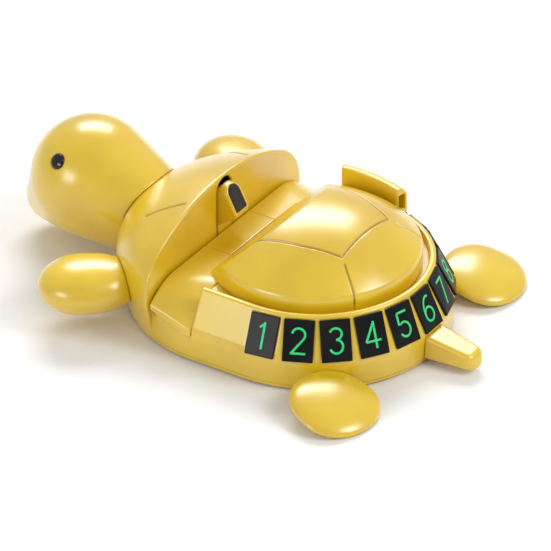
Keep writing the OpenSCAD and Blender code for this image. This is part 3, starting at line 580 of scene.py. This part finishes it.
def shell_plastic():
    """Glossy injection-moulded plastic: slow drift in colour, faint flow marks and a trace of orange peel, with painted
    shade darkening the grooves between the shell plates.
    """
    g = Graph("shell_plastic")
    deep, bright = (0.66, 0.42, 0.004), (0.82, 0.565, 0.006)
    drift = g.noise(22.0, 3.0)
    painted_groove_shade = g.add("ShaderNodeAttribute")
    painted_groove_shade.attribute_name = "groove"
    skin = g.ramp(drift, [(0.3, deep), (0.7, bright)])
    # painted shade: the groove lines are mixed toward a dark ochre that stands in for the shade inside them
    g.set(Base_Color=g.mixed(painted_groove_shade.outputs["Fac"], skin, (0.30, 0.14, 0.002, 1)))
    g.set(Roughness=g.between(g.noise(160.0, 4.0), 0.30, 0.40))
    g.set(IOR=1.5, Coat_Weight=1.0, Coat_IOR=1.65, Coat_Roughness=0.24)
    g.bump(g.noise(700.0, 1.0), 0.03, 0.0002)
    return g.material


def window_plastic():
    """Smoked glossy plastic of the number tiles, with fine handling marks."""
    g = Graph("window_plastic")
    g.set(Base_Color=g.ramp(g.noise(60.0, 3.0), [(0.3, (0.006, 0.006, 0.007)), (0.7, (0.014, 0.015, 0.016))]))
    g.set(Roughness=g.between(g.noise(420.0, 6.0, 0.65), 0.12, 0.26))
    g.set(IOR=1.22)
    g.bump(g.noise(1400.0, 2.0), 0.04, 0.0002)
    return g.material


def numeral_green():
    g = Graph("numeral_green")
    g.set(Base_Color=g.ramp(g.noise(500.0, 3.0), [(0.3, (0.01, 0.42, 0.12)), (0.7, (0.03, 0.62, 0.20))]))
    g.set(Roughness=g.between(g.noise(1500.0, 3.0), 0.35, 0.5))
    # painted glow: the printed numerals are given a faint emission of their own
    g.set(Emission_Color=(0.02, 0.6, 0.17, 1), Emission_Strength=0.25)
    return g.material


def eye_black():
    g = Graph("eye_black")
    g.set(Base_Color=g.ramp(g.noise(300.0), [(0.3, (0.004, 0.004, 0.005)), (0.7, (0.010, 0.010, 0.011))]))
    g.set(Roughness=g.between(g.noise(700.0, 3.0), 0.06, 0.12))
    g.set(IOR=1.5)
    return g.material


def rubber(name, low, high):
    """Moulded rubber: dull, slightly grey where it has been handled, finely grained."""
    g = Graph(name)
    g.set(Base_Color=g.ramp(g.noise(120.0, 4.0), [(0.3, low), (0.75, high)]))
    g.set(Roughness=g.between(g.noise(500.0, 4.0), 0.5, 0.72))
    g.bump(g.noise(3500.0, 3.0, 0.7), 0.25, 0.0002)
    return g.material


def metal(name, low, high, roughness):
    g = Graph(name)
    g.set(Base_Color=g.ramp(g.noise(700.0, 4.0), [(0.3, low), (0.7, high)]))
    g.set(Metallic=1.0, Roughness=g.between(g.noise(2200.0, 5.0), roughness, roughness + 0.16))
    g.bump(g.noise(4000.0, 2.0), 0.08, 0.0001)
    return g.material


def plain_plastic(name, low, high, roughness):
    g = Graph(name)
    g.set(Base_Color=g.ramp(g.noise(150.0, 4.0), [(0.3, low), (0.7, high)]))
    g.set(Roughness=g.between(g.noise(600.0, 4.0), roughness, roughness + 0.14))
    g.bump(g.noise(2500.0, 2.0), 0.08, 0.0002)
    return g.material


def circuit_board():
    """Green solder mask with paler copper tracks showing through it."""
    g = Graph("board")
    tracks = g.add("ShaderNodeTexVoronoi", Vector=g.place, Scale=260.0)
    tracks.feature = "DISTANCE_TO_EDGE"
    g.set(Base_Color=g.ramp(tracks.outputs["Distance"], [(0.02, (0.03, 0.22, 0.06)), (0.09, (0.008, 0.09, 0.025))]))
    g.set(Roughness=g.between(g.noise(900.0, 3.0), 0.25, 0.4))
    g.bump(tracks.outputs["Distance"], 0.2, 0.0001)
    return g.material


def ground():
    g = Graph("ground")
    g.set(Base_Color=g.ramp(g.noise(3.0, 3.0), [(0.3, (0.86, 0.86, 0.86)), (0.7, (0.9, 0.9, 0.9))]))
    g.set(Roughness=g.between(g.noise(40.0, 3.0), 0.55, 0.7))
    return g.material


MATERIALS = {
    "shell_plastic": shell_plastic(),
    "window_plastic": window_plastic(),
    "numeral_green": numeral_green(),
    "eye_black": eye_black(),
    "grip_rubber": rubber("grip_rubber", (0.008, 0.008, 0.009), (0.02, 0.02, 0.021)),
    "foot_rubber": rubber("foot_rubber", (0.012, 0.012, 0.012), (0.03, 0.03, 0.03)),
    "steel": metal("steel", (0.42, 0.42, 0.43), (0.62, 0.62, 0.63), 0.22),
    "switch_plastic": plain_plastic("switch_plastic", (0.010, 0.010, 0.011), (0.022, 0.022, 0.023), 0.35),
    "board": circuit_board(),
    "lamp_resin": plain_plastic("lamp_resin", (0.45, 0.62, 0.46), (0.6, 0.76, 0.6), 0.12),
    "speaker_black": plain_plastic("speaker_black", (0.015, 0.015, 0.017), (0.05, 0.05, 0.055), 0.5),
    "cell_sleeve": plain_plastic("cell_sleeve", (0.42, 0.22, 0.03), (0.55, 0.32, 0.05), 0.3),
}


def dress_nodes():
    """Gives every CAD node the finish of its slot in the record, and soft edges to the small moulded ones."""
    slots = {s["node"]: s["material_slot"] for s in frame["record"]["subparts"]}
    for name, node in frame["nodes"].items():
        node.data.materials.clear()
        node.data.materials.append(MATERIALS[slots[name]])
        if name.startswith("number_tile"):
            soften(node, 0.45)


def soften(node, width):
    weld = node.modifiers.new("weld", "WELD")
    weld.merge_threshold = 1e-6
    bevel = node.modifiers.new("bevel", "BEVEL")
    bevel.width = width * MM
    bevel.segments = 3
    bevel.limit_method = "ANGLE"
    bevel.harden_normals = True


# ---------------------------------------------------------------- pieces


def build_pieces():
    plastic = MATERIALS["shell_plastic"]
    moulded("upper_cover", upper_shell, (-106, -76, 2), (71, 76, 69), 0.62, plastic, nodes=["upper_shell"], lines=BROW_LINES)
    moulded("dome_cover", rear_shell, (-55, -72, 15), (56, 72, 66), 0.4, plastic, nodes=["rear_shell"], lines=PLATE_LINES)
    moulded("saddle_insert", lever_cover, (-54, -21, 29), (-36, 21, 35), 0.35, plastic, nodes=["lever_cover"])
    moulded("head_shell", head, (-175, -34, 0.5), (-70, 34, 73), 0.8, plastic, nodes=["head"])
    for side, turn in (("right", lambda f: f), ("left", mirrored)):
        for end, field, low, high in (
            ("front", front_flipper, (-123, 36), (-60, 97)),
            ("rear", rear_flipper, (24, 40), (84, 98)),
        ):
            y0, y1 = (low[1], high[1]) if side == "right" else (-high[1], -low[1])
            moulded(
                f"{end}_{side}_paddle",
                turn(field),
                (low[0], y0, 0.5),
                (high[0], y1, 40),
                0.6,
                plastic,
                nodes=[f"flipper_{end}_{side}"],
            )
    moulded("tail_shell", tail, (58, -11, 2), (98, 11, 20), 0.45, plastic, nodes=["tail"])
    for side, s in (("left", -1), ("right", 1)):
        at = EYE_AT * (1, s, 1)
        moulded(f"eye_bead_{side}", eye, at - 6, at + 6, 0.22, MATERIALS["eye_black"], nodes=[f"eye_{side}"])
    moulded("thumb_lever", lever, (-66, -7, 15), (-41, 7, 62), 0.3, plastic, "lever_arm", ["lever"])
    moulded(
        "thumb_pad", lever_pad, (-56, -5, 43), (-41, 5, 64), 0.2, MATERIALS["grip_rubber"], "lever_arm", ["lever_pad"]
    )


# ---------------------------------------------------------------- floor, light and camera

VIEW_AZIMUTH, VIEW_ELEVATION = 32.99, 32.18
VIEW_DISTANCE, VIEW_LENS = 2.7005, 355.95
VIEW_TARGET = Vector((SHIFT[0] * MM - 0.01375, -0.01545, 0.02731))


def toward(azimuth_deg, elevation_deg):
    a, e = math.radians(azimuth_deg), math.radians(elevation_deg)
    return Vector((math.sin(a) * math.cos(e), -math.cos(a) * math.cos(e), math.sin(e)))


def floor():
    size = 6.0
    mesh = bpy.data.meshes.new("ground_sheet")
    mesh.from_pydata([(-size, -size, 0), (size, -size, 0), (size, size, 0), (-size, size, 0)], [], [(0, 1, 2, 3)])
    mesh.materials.append(ground())
    sheet = bpy.data.objects.new("ground_sheet", mesh)
    bpy.context.scene.collection.objects.link(sheet)


def softbox(name, azimuth_deg, elevation_deg, distance, width, height, power):
    light = bpy.data.lights.new(name, "AREA")
    light.shape = "RECTANGLE"
    light.size, light.size_y, light.energy = width, height, power
    obj = bpy.data.objects.new(name, light)
    way = toward(azimuth_deg, elevation_deg)
    obj.location = way * distance
    obj.rotation_mode = "QUATERNION"
    obj.rotation_quaternion = way.to_track_quat("Z", "Y")
    bpy.context.scene.collection.objects.link(obj)


def lights():
    world = bpy.data.worlds.new("studio")
    world.use_nodes = True
    world.node_tree.nodes["Background"].inputs["Color"].default_value = (1, 1, 1, 1)
    world.node_tree.nodes["Background"].inputs["Strength"].default_value = 0.56
    bpy.context.scene.world = world
    softbox("back_box", 213, 46, 1.7, 1.1, 0.6, 17)
    softbox("right_box", 101, 41, 1.6, 0.6, 0.6, 9)
    softbox("left_box", -16, 20, 1.8, 0.7, 0.5, 6)


def camera():
    data = bpy.data.cameras.new("camera")
    data.lens, data.sensor_width, data.clip_end = VIEW_LENS, 36.0, 20.0
    obj = bpy.data.objects.new("camera", data)
    back = toward(VIEW_AZIMUTH, VIEW_ELEVATION)
    obj.location = VIEW_TARGET + back * VIEW_DISTANCE
    obj.rotation_mode = "QUATERNION"
    obj.rotation_quaternion = (-back).to_track_quat("-Z", "Y")
    bpy.context.scene.collection.objects.link(obj)
    bpy.context.scene.camera = obj


bpy.context.scene.view_settings.view_transform = "Standard"
dress_nodes()
build_pieces()
floor()
lights()
camera()
